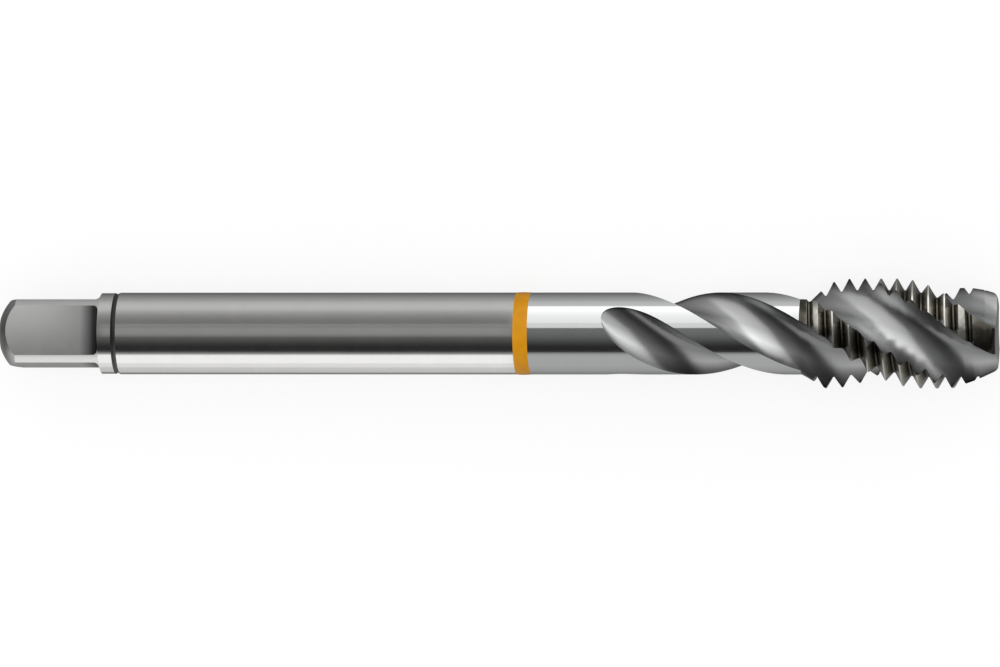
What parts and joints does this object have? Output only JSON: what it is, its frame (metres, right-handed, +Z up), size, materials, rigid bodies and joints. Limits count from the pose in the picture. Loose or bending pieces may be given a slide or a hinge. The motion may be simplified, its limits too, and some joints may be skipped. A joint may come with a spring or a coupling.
{
  "type": "spiral-flute thread tap",
  "caption": "Machine tap lying on its side: driving square, plain ground shank with a coloured ring, and a right-hand spiral-fluted cutting head with thread teeth.",
  "frame": {"origin": "under the middle of the tap's length, at the level of the surface that it lies on", "axes": "+Z is up. +X runs from the driving square to the cutting tip, as seen from above. The tap lies as it comes to rest, on a thread crest and on the edge of its ground shank, so its axis rises by 0.99 degrees from the square to the tip. The driving square's flats face +Y, up, -Y and down, all turned 19.6 degrees about the axis, from up towards +Y. The picture shows it from above, leaning 13.6 degrees towards +Y"},
  "size_m": [0.11, 0.012, 0.0119],
  "materials": {
    "tool_steel": "ground and satin",
    "ring_lacquer": "gloss"
  },
  "bodies": {
    "root": {"tap_body": "tool_steel", "colour_ring": "ring_lacquer"}
  },
  "joints": []
}
